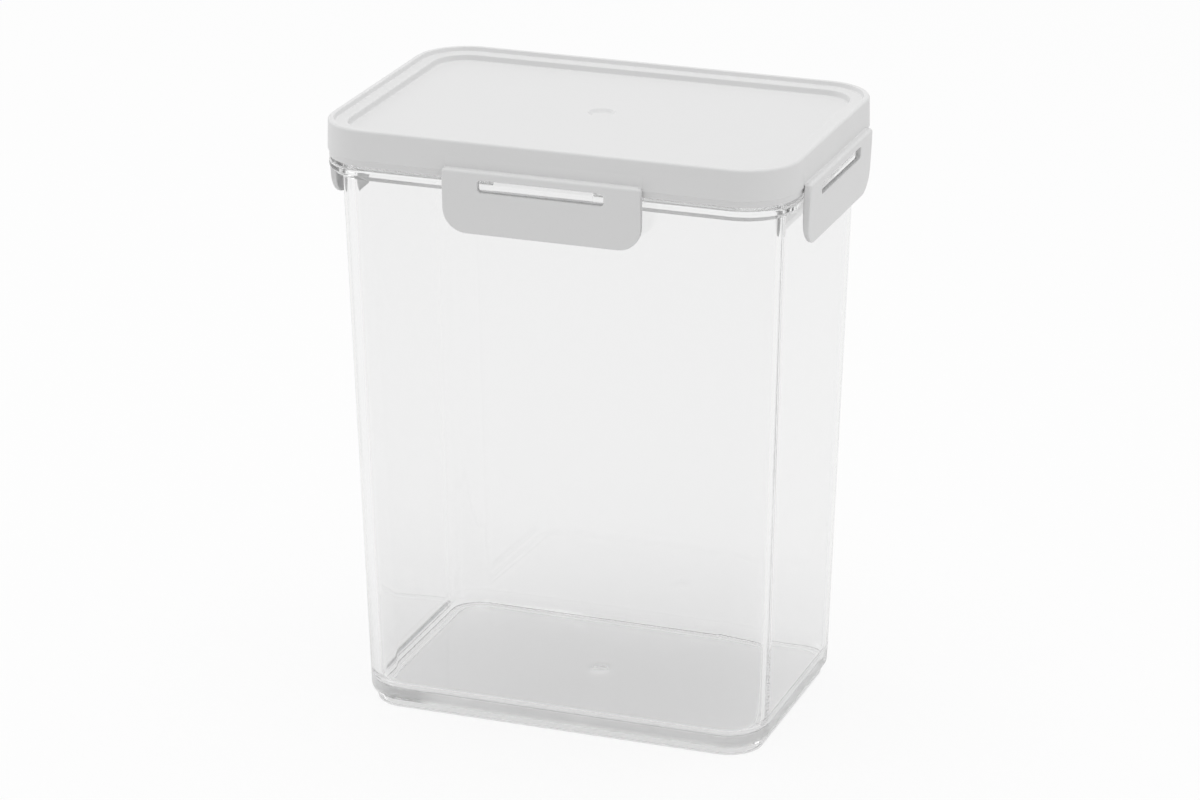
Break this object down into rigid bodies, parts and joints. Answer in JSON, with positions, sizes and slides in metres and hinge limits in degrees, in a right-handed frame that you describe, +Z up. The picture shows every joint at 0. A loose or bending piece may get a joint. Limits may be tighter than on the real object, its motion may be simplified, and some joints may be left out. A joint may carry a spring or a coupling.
{
  "type": "food storage canister",
  "caption": "Tall clear rectangular food canister with drafted walls and a white stepped lid held by hinged snap latches.",
  "frame": {"origin": "centre of the foot's underside, on the surface the canister stands on", "axes": "+Z up, -Y towards the front (a long side), +X to the right as seen from the front"},
  "size_m": [0.1252, 0.086, 0.155],
  "materials": {
    "clear_plastic": "clear, polished",
    "white_plastic": "satin moulded",
    "silicone": "soft matt translucent"
  },
  "bodies": {
    "container": {"container": "clear_plastic"},
    "lid": {"lid": "white_plastic", "seal": "silicone", "front_film_hinge": "white_plastic", "right_film_hinge": "white_plastic", "back_film_hinge": "white_plastic", "left_film_hinge": "white_plastic"},
    "front_latch": {"front_latch": "white_plastic"},
    "right_latch": {"right_latch": "white_plastic"},
    "back_latch": {"back_latch": "white_plastic"},
    "left_latch": {"left_latch": "white_plastic"}
  },
  "joints": [
    {"name": "lid_lift", "type": "slide", "parent": "container", "child": "lid", "axis": [0, 0, 1], "range_m": [0, 0.06]},
    {"name": "front_latch_hinge", "type": "hinge", "parent": "lid", "child": "front_latch", "pos_m": [0, -0.0419, 0.14835], "axis": [-1, 0, 0], "range_deg": [0, 135], "deforming": ["front_film_hinge"]},
    {"name": "right_latch_hinge", "type": "hinge", "parent": "lid", "child": "right_latch", "pos_m": [0.0614, 0, 0.14835], "axis": [0, -1, 0], "range_deg": [0, 135], "deforming": ["right_film_hinge"]},
    {"name": "back_latch_hinge", "type": "hinge", "parent": "lid", "child": "back_latch", "pos_m": [0, 0.0419, 0.14835], "axis": [1, 0, 0], "range_deg": [0, 135], "deforming": ["back_film_hinge"]},
    {"name": "left_latch_hinge", "type": "hinge", "parent": "lid", "child": "left_latch", "pos_m": [-0.0614, 0, 0.14835], "axis": [0, 1, 0], "range_deg": [0, 135], "deforming": ["left_film_hinge"]}
  ]
}
